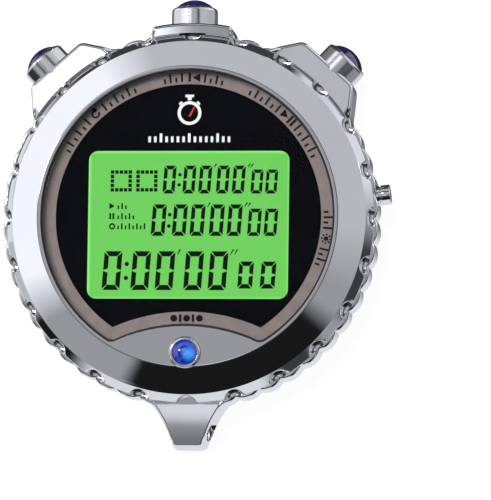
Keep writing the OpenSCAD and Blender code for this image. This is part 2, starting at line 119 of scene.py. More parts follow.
SEAT_R, SEAT_END_R, SEAT_Z = 28.6, 27.4, RIM_Z - 0.05
HOLLOW_R, HOLLOW_Z, COVER_STEP_R = 26.8, 3.2, 20.8
BORE_Y, BORE_Z, BORE_R, BORE_HALF, SPOT_R = -34.6, 5.5, 1.5, 3.1, 2.0
STONE_R, STONE_H, MODE_STONE_R = 3.17, 1.4, 1.98
LIGHT_R, LIGHT_STEM_R, LIGHT_SEAT, LIGHT_END, LIGHT_HEAD = 1.65, 0.6, 28.6, 32.9, 2.7
COIL_ROOM, BORE_FROM, BORE_TO = 1.3, 25.5, 40
MODE_STEM_R, MODE_SEAT = 0.9, 12.3


# ---------------------------------------------------------------- mesh helpers
def finish_piece(obj, body, replaces=(), sharp=32.0, weighted=False):
    """Smooth shading with crisp edges, and the piece's place in the frame."""
    obj.data.shade_smooth()
    obj.data.set_sharp_from_angle(angle=math.radians(sharp))
    if weighted:
        modifier = obj.modifiers.new("weighted", "WEIGHTED_NORMAL")
        modifier.keep_sharp = True
        modifier.weight = 60
    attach(obj, body)
    if replaces:
        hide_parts(*replaces)


def new_object(name, verts, faces, material, transform=None):
    """A mesh object from points in millimetres. The transform is in metres."""
    mesh = bpy.data.meshes.new(name)
    points = np.asarray(verts, float) * MM
    mesh.from_pydata([tuple(p) for p in points], [], [tuple(int(i) for i in f) for f in faces])
    if transform is not None:
        mesh.transform(transform)
    mesh.materials.append(material)
    mesh.update()
    obj = bpy.data.objects.new(name, mesh)
    bpy.context.collection.objects.link(obj)
    return obj


def grid_faces(rows, cols, close_rows):
    """Quads between consecutive rows of a grid whose columns run all the way round."""
    faces = []
    for i in range(rows if close_rows else rows - 1):
        a, b = i * cols, ((i + 1) % rows) * cols
        for j in range(cols):
            k = (j + 1) % cols
            faces.append((a + j, a + k, b + k, b + j))
    return faces


def arc(cx, cy, r, a0, a1, n):
    """Points of an arc, angles in degrees."""
    return [(cx + r * math.cos(math.radians(a0 + (a1 - a0) * i / n)),
             cy + r * math.sin(math.radians(a0 + (a1 - a0) * i / n))) for i in range(n + 1)]


def rounded(points, steps=4):
    """An open polyline of (x, y, corner radius) with its corners turned into arcs."""
    out, n = [], len(points)
    for i, (x, y, r) in enumerate(points):
        if r <= 0 or i in (0, n - 1):
            out.append((x, y))
            continue
        p = Vector((x, y))
        a = (Vector(points[i - 1][:2]) - p).normalized()
        b = (Vector(points[i + 1][:2]) - p).normalized()
        half = a.angle(b) / 2
        reach = r / math.tan(half)
        centre = p + (a + b).normalized() * (r / math.sin(half))
        start, end = p + a * reach, p + b * reach
        a0 = math.atan2(start.y - centre.y, start.x - centre.x)
        a1 = math.atan2(end.y - centre.y, end.x - centre.x)
        turn = (a1 - a0 + math.pi) % (2 * math.pi) - math.pi
        for k in range(steps + 1):
            angle = a0 + turn * k / steps
            out.append((centre.x + r * math.cos(angle), centre.y + r * math.sin(angle)))
    return out


def revolve(name, profile, material, segments, transform):
    """Turns an (r, z) profile about Z. Points on the axis become one pole vertex."""
    verts, rings = [], []
    for r, z in profile:
        if r < 1e-6:
            rings.append([len(verts)])
            verts.append((0, 0, z))
            continue
        rings.append(list(range(len(verts), len(verts) + segments)))
        verts += [(r * math.cos(2 * math.pi * j / segments), r * math.sin(2 * math.pi * j / segments), z)
                  for j in range(segments)]
    faces = []
    for a, b in zip(rings, rings[1:]):
        for j in range(segments):
            k = (j + 1) % segments
            face = [a[j % len(a)], a[k % len(a)], b[k % len(b)], b[j % len(b)]]
            face = [v for i, v in enumerate(face) if v not in face[:i]]
            if len(face) > 2:
                faces.append(face)
    obj = new_object(name, verts, faces, material, transform)
    fix_normals(obj)
    return obj


def fix_normals(obj):
    bm = bmesh.new()
    bm.from_mesh(obj.data)
    bmesh.ops.recalc_face_normals(bm, faces=bm.faces)
    bm.to_mesh(obj.data)
    bm.free()


def radial(angle):
    """Matrix that stands a shape built along +Z outwards at an angle round the case, in metres."""
    return (Matrix.Rotation(math.radians(angle), 4, "Z") @ Matrix.Translation((0, 0, BUTTON_Z * MM))
            @ Matrix.Rotation(math.radians(90), 4, "Y"))


def plate(name, outline, z0, z1, material, bevel=0.0, holes=()):
    """A flat plate from a closed outline, with a small bevel round its upper edges."""
    curve = bpy.data.curves.new(name, "CURVE")
    curve.dimensions = "2D"
    curve.fill_mode = "BOTH"
    for loop in (outline, *holes):
        spline = curve.splines.new("POLY")
        spline.points.add(len(loop) - 1)
        for point, (x, y) in zip(spline.points, loop):
            point.co = (x * MM, y * MM, 0, 1)
        spline.use_cyclic_u = True
    curve.extrude = max((z1 - z0) / 2 - bevel, 1e-6) * MM
    curve.bevel_depth = bevel * MM
    curve.offset = -bevel * MM
    curve.bevel_resolution = 2
    maker = bpy.data.objects.new(name, curve)
    bpy.context.collection.objects.link(maker)
    mesh = bpy.data.meshes.new_from_object(maker.evaluated_get(bpy.context.evaluated_depsgraph_get()))
    bpy.data.objects.remove(maker)
    mesh.transform(Matrix.Translation((0, 0, (z0 + z1) / 2 * MM)))
    mesh.materials.clear()
    mesh.materials.append(material)
    obj = bpy.data.objects.new(name, mesh)
    bpy.context.collection.objects.link(obj)
    return obj


def subtract(obj, *cutters):
    """Exact boolean cuts, applied to the mesh."""
    for cutter in cutters:
        modifier = obj.modifiers.new("cut", "BOOLEAN")
        modifier.operation = "DIFFERENCE"
        modifier.solver = "EXACT"
        modifier.object = cutter
    bpy.context.view_layer.update()
    mesh = bpy.data.meshes.new_from_object(obj.evaluated_get(bpy.context.evaluated_depsgraph_get()))
    obj.modifiers.clear()
    obj.data = mesh
    for cutter in cutters:
        bpy.data.objects.remove(cutter)


# ---------------------------------------------------------------- materials
def new_material(name):
    material = bpy.data.materials.new(name)
    material.use_nodes = True
    tree = material.node_tree
    return material, tree, tree.nodes["Principled BSDF"]


def set_inputs(shader, **values):
    for key, value in values.items():
        shader.inputs[key.replace("_", " ")].default_value = value


def object_coords(tree):
    return tree.nodes.new("ShaderNodeTexCoord").outputs["Object"]


def plug(tree, socket, value):
    """Feeds a socket from another socket, or sets its number or colour."""
    if isinstance(value, tuple):
        socket.default_value = (*value, 1)
    elif isinstance(value, (int, float)):
        socket.default_value = value
    else:
        tree.links.new(value, socket)


def axes(tree, vector):
    """A vector's X, Y and Z sockets."""
    node = tree.nodes.new("ShaderNodeSeparateXYZ")
    tree.links.new(vector, node.inputs["Vector"])
    return node.outputs


def maths(tree, operation, *values):
    node = tree.nodes.new("ShaderNodeMath")
    node.operation = operation
    for socket, value in zip(node.inputs, values):
        plug(tree, socket, value)
    return node.outputs["Value"]


def vector_maths(tree, operation, source, other=None):
    """One number worked out from a vector, and from a fixed vector where one is given."""
    node = tree.nodes.new("ShaderNodeVectorMath")
    node.operation = operation
    tree.links.new(source, node.inputs[0])
    if other is not None:
        node.inputs[1].default_value = tuple(other)
    return node.outputs["Value"]


def progress(tree, source, start, end, curve="LINEAR"):
    """0 to 1 while the source goes from start to end."""
    node = tree.nodes.new("ShaderNodeMapRange")
    node.interpolation_type = curve
    set_inputs(node, From_Min=start, From_Max=end)
    tree.links.new(source, node.inputs["Value"])
    return node.outputs["Result"]


def mix_colours(tree, factor, first, second, mode="MIX"):
    node = tree.nodes.new("ShaderNodeMixRGB")
    node.blend_type = mode
    for socket, value in zip(node.inputs, (factor, first, second)):
        plug(tree, socket, value)
    return node.outputs["Color"]


def noise(tree, scale, detail, vector=None, stretch=None):
    """Noise in object space. scale is per metre."""
    source = vector or object_coords(tree)
    if stretch:
        mapping = tree.nodes.new("ShaderNodeMapping")
        mapping.inputs["Scale"].default_value = stretch
        tree.links.new(source, mapping.inputs["Vector"])
        source = mapping.outputs["Vector"]
    tex = tree.nodes.new("ShaderNodeTexNoise")
    set_inputs(tex, Scale=scale, Detail=detail)
    tree.links.new(source, tex.inputs["Vector"])
    return tex.outputs["Fac"]


def ramp(tree, factor, *stops):
    """Colour ramp from (position, value or colour) stops."""
    node = tree.nodes.new("ShaderNodeValToRGB")
    elements = node.color_ramp.elements
    while len(elements) < len(stops):
        elements.new(0.5)
    for element, (position, value) in zip(elements, stops):
        element.position = position
        element.color = (*value, 1) if isinstance(value, tuple) else (value, value, value, 1)
    tree.links.new(factor, node.inputs["Fac"])
    return node.outputs["Color"]


def vary(tree, shader, socket, factor, *stops):
    """Drives one of a shader's sockets from a factor through a colour ramp."""
    tree.links.new(ramp(tree, factor, *stops), shader.inputs[socket])


def shaded(tone, gain):
    """A colour made lighter or darker, up to white."""
    return tuple(min(1.0, c * gain) for c in tone)


def bump(tree, shader, height, strength, distance):
    node = tree.nodes.new("ShaderNodeBump")
    set_inputs(node, Strength=strength, Distance=distance)
    tree.links.new(height, node.inputs["Height"])
    tree.links.new(node.outputs["Normal"], shader.inputs["Normal"])


def scratches(tree, scale):
    """Thin random lines: a warped cell pattern's edges, white where a scratch is."""
    warped = mix_colours(tree, 0.08, object_coords(tree), noise(tree, scale * 0.6, 2.0))
    tex = tree.nodes.new("ShaderNodeTexVoronoi")
    tex.feature = "DISTANCE_TO_EDGE"
    set_inputs(tex, Scale=scale)
    tree.links.new(warped, tex.inputs["Vector"])
    return ramp(tree, tex.outputs["Distance"], (0.0, 1.0), (0.02, 0.0))


def chrome(name, tone, roughness, grain=0.0):
    """Polished plating with faint smudges, and hairline scratches or a satin grain."""
    material, tree, shader = new_material(name)
    set_inputs(shader, Metallic=1.0, IOR=2.5)
    vary(tree, shader, "Base Color", noise(tree, 60, 3),
         (0.35, tone), (0.65, shaded(tone, 1.03)))
    vary(tree, shader, "Roughness", noise(tree, 140, 5),
         (0.42, roughness), (0.75, roughness + 0.04))
    if grain:
        bump(tree, shader, noise(tree, 1600, 4), grain, 0.00001)
    else:
        bump(tree, shader, scratches(tree, 420), 0.012, 0.00002)
    return material


def brushed(name, tone, roughness, stretch):
    """Steel with fine parallel grain along one axis."""
    material, tree, shader = new_material(name)
    set_inputs(shader, Metallic=1.0, Anisotropic=0.5)
    grain = noise(tree, 900, 6, stretch=stretch)
    vary(tree, shader, "Base Color", grain,
         (0.3, shaded(tone, 0.86)), (0.7, tone))
    vary(tree, shader, "Roughness", noise(tree, 90, 4),
         (0.3, roughness), (0.8, roughness + 0.12))
    bump(tree, shader, grain, 0.25, 0.00004)
    return material


def plastic(name, tone, roughness, strength=0.1, coat=0.0, specular=0.5):
    """Moulded plastic or rubber with a fine surface grain and mild colour variation."""
    material, tree, shader = new_material(name)
    set_inputs(shader, Coat_Weight=coat, Specular_IOR_Level=specular)
    vary(tree, shader, "Base Color", noise(tree, 120, 4),
         (0.3, shaded(tone, 0.82)), (0.75, tone))
    vary(tree, shader, "Roughness", noise(tree, 300, 4),
         (0.3, roughness), (0.8, min(1.0, roughness + 0.1)))
    bump(tree, shader, noise(tree, 2500, 3), strength, 0.00003)
    return material


def polar(tree):
    """Angle and radius about the dial axis, from object coordinates."""
    place = axes(tree, object_coords(tree))
    return (maths(tree, "ARCTAN2", place["Y"], place["X"]),
            vector_maths(tree, "LENGTH", object_coords(tree)))


def sunray(name, tone, roughness, rays, metallic, strength=0.1):
    """Metallic print or turned metal brushed in rays from the dial axis."""
    material, tree, shader = new_material(name)
    set_inputs(shader, Metallic=metallic)
    angle, radius = polar(tree)
    merge = tree.nodes.new("ShaderNodeCombineXYZ")
    tree.links.new(angle, merge.inputs["X"])
    tree.links.new(maths(tree, "MULTIPLY", radius, 12.0), merge.inputs["Y"])
    grain = noise(tree, rays, 5, vector=merge.outputs["Vector"])
    vary(tree, shader, "Base Color", grain,
         (0.3, shaded(tone, 0.9)), (0.7, shaded(tone, 1.1)))
    vary(tree, shader, "Roughness", noise(tree, 200, 4),
         (0.3, roughness), (0.8, roughness + 0.08))
    bump(tree, shader, grain, strength, 0.00002)
    return material


def gloss_black(name, tone=(0.0009, 0.001, 0.0016), roughness=0.06, specular=0.04):
    material, tree, shader = new_material(name)
    set_inputs(shader, IOR=1.5, Specular_IOR_Level=specular)
    vary(tree, shader, "Base Color", noise(tree, 400, 5),
         (0.3, tone), (0.8, shaded(tone, 2.2)))
    vary(tree, shader, "Roughness", noise(tree, 120, 4),
         (0.35, roughness), (0.8, roughness + 0.05))
    bump(tree, shader, noise(tree, 900, 3), 0.01, 0.00002)
    return material


def stone(name, deep, light, glow=None):
    """Polished glass cabochon: deep colour, cloudy veils and a clear coat.

    glow is the colour of a painted glow in the mode button's stone, on the side away from the lamp: bright
    colour painted into the stone, standing in for light gathered inside it.
    """
    material, tree, shader = new_material(name)
    set_inputs(shader, IOR=1.6, Coat_Weight=1.0, Coat_Roughness=0.02, Specular_IOR_Level=0.6)
    veils_and_painted_glow = ramp(tree, noise(tree, 420, 3), (0.42, deep), (0.72, light))
    # Painted glow: a bright patch painted into the stone's colour round a point off its middle, standing in
    # for light gathered inside the stone. The cloudy veils are the stone's own colour.
    if glow:
        middle = (0.75 * MM, (MODE_Y - 0.35) * MM, MODE_TOP * MM)
        distance = vector_maths(tree, "DISTANCE", object_coords(tree), middle)
        share = ramp(tree, progress(tree, distance, 0.0, 1.5 * MM), (0.25, 0.9), (0.9, 0.0))
        veils_and_painted_glow = mix_colours(tree, share, veils_and_painted_glow, glow)
    tree.links.new(veils_and_painted_glow, shader.inputs["Base Color"])
    vary(tree, shader, "Roughness", noise(tree, 900, 3), (0.3, 0.03), (0.8, 0.06))
    bump(tree, shader, noise(tree, 260, 2), 0.05, 0.0001)
    return material


def window(name):
    """Clear mineral glass over the dial, with the faintest smears."""
    material, tree, shader = new_material(name)
    set_inputs(shader, IOR=1.12, Transmission_Weight=1.0, Base_Color=(0.985, 0.99, 0.99, 1))
    vary(tree, shader, "Roughness", noise(tree, 60, 4), (0.45, 0.0), (0.8, 0.003))
    return material


def lit_display(name, tone, strength):
    """Backlit liquid crystal: an even green glow, a little brighter round the edge of the window."""
    material, tree, shader = new_material(name)
    place = axes(tree, object_coords(tree))
    edges = []
    for axis, middle, half in (("X", 0.0, WINDOW_W / 2), ("Y", WINDOW_Y, WINDOW_H / 2)):
        shift = maths(tree, "SUBTRACT", place[axis], middle * MM)
        edges.append(maths(tree, "SUBTRACT", half * MM, maths(tree, "ABSOLUTE", shift)))
    inward = progress(tree, maths(tree, "MINIMUM", *edges), 0.0, 0.5 * MM)
    glow = ramp(tree, inward, (0.0, tuple(min(1.0, c * 1.35 + 0.1) for c in tone)),
                (0.45, tuple(min(1.0, c * 1.2 + 0.03) for c in tone)), (1.0, tone))
    mottle = ramp(tree, noise(tree, 90, 3), (0.3, 0.97), (0.7, 1.0))
    tree.links.new(mix_colours(tree, 1.0, glow, mottle, "MULTIPLY"), shader.inputs["Emission Color"])
    set_inputs(shader, Base_Color=(0.01, 0.03, 0.01, 1), Roughness=0.5, Specular_IOR_Level=0.1,
               Emission_Strength=strength)
    bump(tree, shader, noise(tree, 3000, 2), 0.03, 0.00001)
    return material


CHROME_CASE = chrome("chrome_case", (0.86, 0.86, 0.88), 0.045)
CHROME_BEZEL = chrome("chrome_bezel", (0.88, 0.88, 0.90), 0.03)
CHROME_BUTTON = chrome("chrome_button", (0.88, 0.88, 0.88), 0.18, grain=0.25)
CHROME_SMALL = chrome("chrome_small_button", (0.88, 0.88, 0.90), 0.05)
RUBBER = plastic("gasket_rubber", (0.02, 0.02, 0.022), 0.55)
GLASS = window("window_glass")
TAUPE = sunray("dial_print", (0.275, 0.225, 0.21), 0.38, rays=14.0, metallic=0.45)
BLACK = gloss_black("dial_black")
WHITE_PRINT = plastic("white_print", (0.82, 0.82, 0.82), 0.4, strength=0.02)
DARK_PRINT = plastic("dark_print", (0.006, 0.006, 0.007), 0.5, strength=0.02, specular=0.15)
RED_PRINT = plastic("red_print", (0.62, 0.03, 0.02), 0.4, strength=0.02)
SEGMENT = plastic("segment_ink", (0.004, 0.009, 0.004), 0.6, strength=0.01, specular=0.05)
LCD = lit_display("display_glow", (0.165, 0.655, 0.11), 0.95)
NAVY = stone("navy_stone", (0.004, 0.004, 0.06), (0.014, 0.014, 0.15))
# The blue stone's glow colour is painted light: a bright cyan patch painted into its colour, standing in for
# light gathered inside the stone.
BLUE = stone("blue_stone", (0.002, 0.014, 0.26), (0.01, 0.07, 0.55), glow=(0.06, 0.36, 1.0))
STEEL = brushed("stem_steel", (0.60, 0.60, 0.61), 0.25, (1, 1, 12))
WIRE = brushed("spring_steel", (0.55, 0.55, 0.56), 0.22, (1, 1, 1))
COVER = sunray("cover_steel", (0.63, 0.63, 0.65), 0.24, rays=90.0, metallic=1.0, strength=0.2)
SCREW = brushed("screw_steel", (0.58, 0.58, 0.60), 0.22, (1, 14, 1))
WHITE_PLASTIC = plastic("white_plastic", (0.78, 0.78, 0.74), 0.5)
BOARD = plastic("board_green", (0.012, 0.13, 0.045), 0.3, coat=0.4)
EPOXY = gloss_black("epoxy", (0.01, 0.01, 0.01), 0.2, 0.3)
NICKEL = brushed("nickel", (0.62, 0.61, 0.58), 0.25, (1, 12, 1))
CERAMIC = plastic("ceramic_chip", (0.42, 0.32, 0.22), 0.55)
BRASS = brushed("contact_brass", (0.78, 0.58, 0.24), 0.25, (12, 1, 1))
BATTERY = brushed("battery_steel", (0.66, 0.66, 0.66), 0.22, (1, 1, 1))
ZEBRA = plastic("zebra_rubber", (0.60, 0.30, 0.33), 0.6)
FILM = plastic("polariser", (0.12, 0.2, 0.1), 0.2)


# ---------------------------------------------------------------- outlines
def arch_corner(radius_in, radius_arch, corner):
    """Middle of the arch's rounded corner: its angle from -Y and its distance from the axis."""
    reach, across = radius_in - corner, radius_arch + corner
    return math.acos((reach ** 2 + ARCH_DROP ** 2 - across ** 2) / (2 * reach * ARCH_DROP)), reach


def arch_gap(radius_in, radius_arch, corner):
    """Outline of a disc whose lower side is cut by the arch, with rounded corners, from above."""
    disc_steps, corner_steps, arch_steps = 260, 8, 40
    swing, reach = arch_corner(radius_in, radius_arch, corner)
    cx, cy = reach * math.sin(swing), -reach * math.cos(swing)
    lean = math.atan2(cx, cy + ARCH_DROP)
    points = []
    start, end = -math.pi / 2 + swing, 3 * math.pi / 2 - swing
    for i in range(disc_steps + 1):
        a = start + (end - start) * i / disc_steps
        points.append((radius_in * math.cos(a), radius_in * math.sin(a)))
    a0, a1 = math.atan2(cy, -cx), math.atan2(-ARCH_DROP - cy, cx)
    turn = (a1 - a0) % (2 * math.pi)
    for i in range(1, corner_steps + 1):
        a = a0 + turn * i / corner_steps
        points.append((-cx + corner * math.cos(a), cy + corner * math.sin(a)))
    left = points[disc_steps + 1:]
    for i in range(1, arch_steps):
        a = -lean + 2 * lean * i / arch_steps
        points.append((radius_arch * math.sin(a), -ARCH_DROP + radius_arch * math.cos(a)))
    return points + [(-x, y) for x, y in reversed(left)]


def rounded_box(w, h, cx, cy, r):
    corners = [(w / 2 - r, h / 2 - r, 0), (-w / 2 + r, h / 2 - r, 90), (-w / 2 + r, -h / 2 + r, 180),
               (w / 2 - r, -h / 2 + r, 270)]
    return [p for x, y, a in corners for p in arc(cx + x, cy + y, r, a, a + 90, 6)]


# ---------------------------------------------------------------- bezel
def opening_radius(phi):
    """Radius of the lens opening at angle phi (radians) measured from -Y, and 0 to pi either way."""
    phi = abs(phi)
    swing, reach = arch_corner(OPENING_R, ARCH_R, CORNER_R)
    if phi >= swing:
        return OPENING_R
    cx, cy = reach * math.sin(swing), reach * math.cos(swing)
    towards = math.atan2(cx, ARCH_DROP - cy)
    tx, ty = ARCH_R * math.sin(towards), ARCH_DROP - ARCH_R * math.cos(towards)
    if phi > math.atan2(tx, ty):
        b = math.sin(phi) * cx + math.cos(phi) * cy
        return b + math.sqrt(max(0.0, b * b - (cx * cx + cy * cy - CORNER_R ** 2)))
    b = math.cos(phi) * ARCH_DROP
    return b - math.sqrt(max(0.0, b * b - (ARCH_DROP ** 2 - ARCH_R ** 2)))


def band_z(r):
    """Height of the steep band at a radius."""
    return LIP_Z + (SHOULDER_Z - LIP_Z) * (FLANGE_R - r) / (FLANGE_R - SHOULDER_R)


def front_bezel():
    """The chromed ring: scooped flange, steep band, sloping face, flat eye and the lens seat."""
    columns = SCOOPS * 48
    step = 2 * math.pi / SCOOPS
    rows = []
    for j in range(columns):
        theta = 2 * math.pi * j / columns
        delta = abs((theta + step / 2) % step - step / 2)
        s = SCOOP_OUT * math.sin(delta)
        wall = FLANGE_R
        if s < SCOOP_R:
            wall = min(wall, SCOOP_OUT * math.cos(delta) - math.sqrt(SCOOP_R ** 2 - s * s))
        meet = max(LIP_Z, band_z(wall))
        profile = [(SPIGOT_R, SPIGOT_Z), (SPIGOT_R, RIM_Z), (wall - 0.03, RIM_Z), (wall, RIM_Z + 0.05)]
        profile += [(wall, RIM_Z + (meet - 0.12 - RIM_Z) * t) for t in (0.3, 0.65, 1.0)]
        profile += [(wall - 0.022, meet - 0.04), (wall - 0.065, meet + 0.035)]
        last = wall - 0.12
        for t in (0.0, 0.3, 0.55, 0.8):
            r = last + (SHOULDER_R + 0.06 - last) * t
            profile.append((r, band_z(r)))
        # The sloping face, from the shoulder in to the eye and the lens opening
        face = []
        for i in range(1, 13):
            t = i / 13
            face.append((SHOULDER_R + (FACE_R - SHOULDER_R) * t,
                         SHOULDER_Z + (BEZEL_TOP - SHOULDER_Z) * t + FACE_SAG * 4 * t * (1 - t)))
        profile += [(SHOULDER_R + 0.055, SHOULDER_Z - 0.075), (SHOULDER_R + 0.02, SHOULDER_Z - 0.01),
                    (SHOULDER_R - 0.04, SHOULDER_Z + 0.035), (SHOULDER_R - 0.12, SHOULDER_Z + 0.085)]
        profile += face
        edge = opening_radius(turned(theta, -90))
        inner = min(FACE_R - 0.08, edge + 0.16)
        profile += [(FACE_R + 0.06, BEZEL_TOP - 0.012), (FACE_R, BEZEL_TOP)]
        profile += [(FACE_R + (inner - FACE_R) * t, BEZEL_TOP) for t in (0.02, 0.25, 0.5, 0.75, 0.96)]
        profile += [(inner, BEZEL_TOP), (inner + (edge - inner) * 0.3, BEZEL_TOP - 0.03),
                    (edge + (inner - edge) * 0.1, BEZEL_TOP - 0.3), (edge, BEZEL_TOP - 0.42),
                    (edge, DIAL_BACK), (edge - 1.0, DIAL_BACK), (edge - 1.0, WEB_Z),
                    (min(edge + 1.1, SPIGOT_IN), WEB_Z), (SPIGOT_IN, WEB_Z + 0.001), (SPIGOT_IN, SPIGOT_Z)]
        rows.append([(r * math.cos(theta), r * math.sin(theta), z) for r, z in profile])
    count = len(rows[0])
    verts = [rows[j][i] for i in range(count) for j in range(columns)]
    obj = new_object("bezel_ring", verts, grid_faces(count, columns, True), CHROME_BEZEL)
    fix_normals(obj)
    hole = rounded([(0, 11.0, 0), (MODE_R + 0.07, 11.0, 0), (MODE_R + 0.07, BEZEL_TOP - 0.1, 0),
                    (MODE_R + 0.3, BEZEL_TOP + 0.13, 0), (MODE_R + 0.3, 15, 0), (0, 15, 0)])
    bore = [(0, 9), (0.95, 9), (0.95, 11.5), (0, 11.5)]
    shift = Matrix.Translation((0, MODE_Y * MM, 0))
    subtract(obj, revolve("cut_a", hole, CHROME_BEZEL, 96, shift),
             revolve("cut_b", bore, CHROME_BEZEL, 48, shift))
    finish_piece(obj, "case", ["front_bezel"], sharp=28, weighted=True)


# ---------------------------------------------------------------- middle case
def smooth_max(a, b, k):
    h = np.clip(0.5 + 0.5 * (a - b) / k, 0, 1)
    return b + (a - b) * h + k * h * (1 - h)


def smooth_min(a, b, k):
    return -smooth_max(-a, -b, k)


def smoothstep(x, a, b):
    t = np.clip((x - a) / (b - a), 0, 1)
    return t * t * (3 - 2 * t)


def turned(theta, centre):
    """Angle from a feature's middle, in radians, within half a turn."""
    return (theta - math.radians(centre) + math.pi) % (2 * math.pi) - math.pi


def knurl_radius(theta):
    step = 2 * math.pi / LOBES
    d = (theta % step) - step / 2
    c = CREST_R - LOBE_R
    return c * np.cos(d) + np.sqrt(LOBE_R ** 2 - (c * np.sin(d)) ** 2)


def side_boss_radius(theta, centre):
    """A flat outer face and two leaning flanks."""
    d = np.abs(turned(theta, centre))
    lean = math.atan2(BOSS_FOOT - BOSS_HALF, BOSS_R - BOSS_FOOT_R)
    across, along = math.cos(lean), math.sin(lean)
    c = BOSS_HALF * across + BOSS_R * along
    d = np.minimum(d, 0.6)
    return smooth_min(BOSS_R / np.cos(d), c / (across * np.sin(d) + along * np.cos(d)), 0.9)


def recall_boss_radius(theta):
    d = np.abs(turned(theta, RECALL))
    flank = RECALL_BOSS_R - (d - math.radians(11.6)) * 60.0
    return smooth_min(np.full_like(d, RECALL_BOSS_R), flank, 0.8)


def lug_radius(theta):
    y = np.linspace(29.5, 39.5, 200)
    half = 1.6 + 5.0 * np.exp(-(y - 30) / 5.6)
    d = np.abs(turned(theta, 270.0))
    angle, reach = np.arctan2(half, y), np.hypot(half, y)
    flank = np.interp(d, angle[::-1], reach[::-1], left=reach[-1], right=reach[0] - 1.0)
    past = np.clip(LUG_END * np.tan(np.minimum(d, 0.5)) - LUG_HALF + LUG_CORNER, 0, LUG_CORNER)
    end = (LUG_END - LUG_SHORT) / np.cos(np.minimum(d, 0.5))
    end += np.sqrt(LUG_CORNER ** 2 - past ** 2) - LUG_CORNER
    return np.where(d < angle[0], smooth_min(end, flank, 0.9), 20.0)


def lug_front(y):
    """Height of the lug's front, which leans back more and more towards its end."""
    run = np.clip(-y - 30.4, 0, 8)
    return RIM_Z - 0.12 - 0.07 * run - 0.0092 * run ** 2


def boss_front(height, x, y):
    """The bosses' fronts lean outwards a little from the bezel."""
    run = np.clip(np.hypot(x, y) - FLANGE_R, 0, 4)
    return height - BOSS_SLOPE * run * smoothstep(height, RIM_Z + 0.2, BOSS_TOP)


def dimple(x, y):
    """Depth of the polished dimples in the casting under the bezel's scoops."""
    step = 2 * math.pi / SCOOPS
    d = (np.arctan2(y, x) + step / 2) % step - step / 2
    r = np.hypot(x, y)
    away = ((r * np.cos(d) - DIMPLE_AT) / DIMPLE_LONG) ** 2 + (r * np.sin(d) / DIMPLE_WIDE) ** 2
    return DIMPLE_DEEP * np.clip(1 - away, 0, 1)


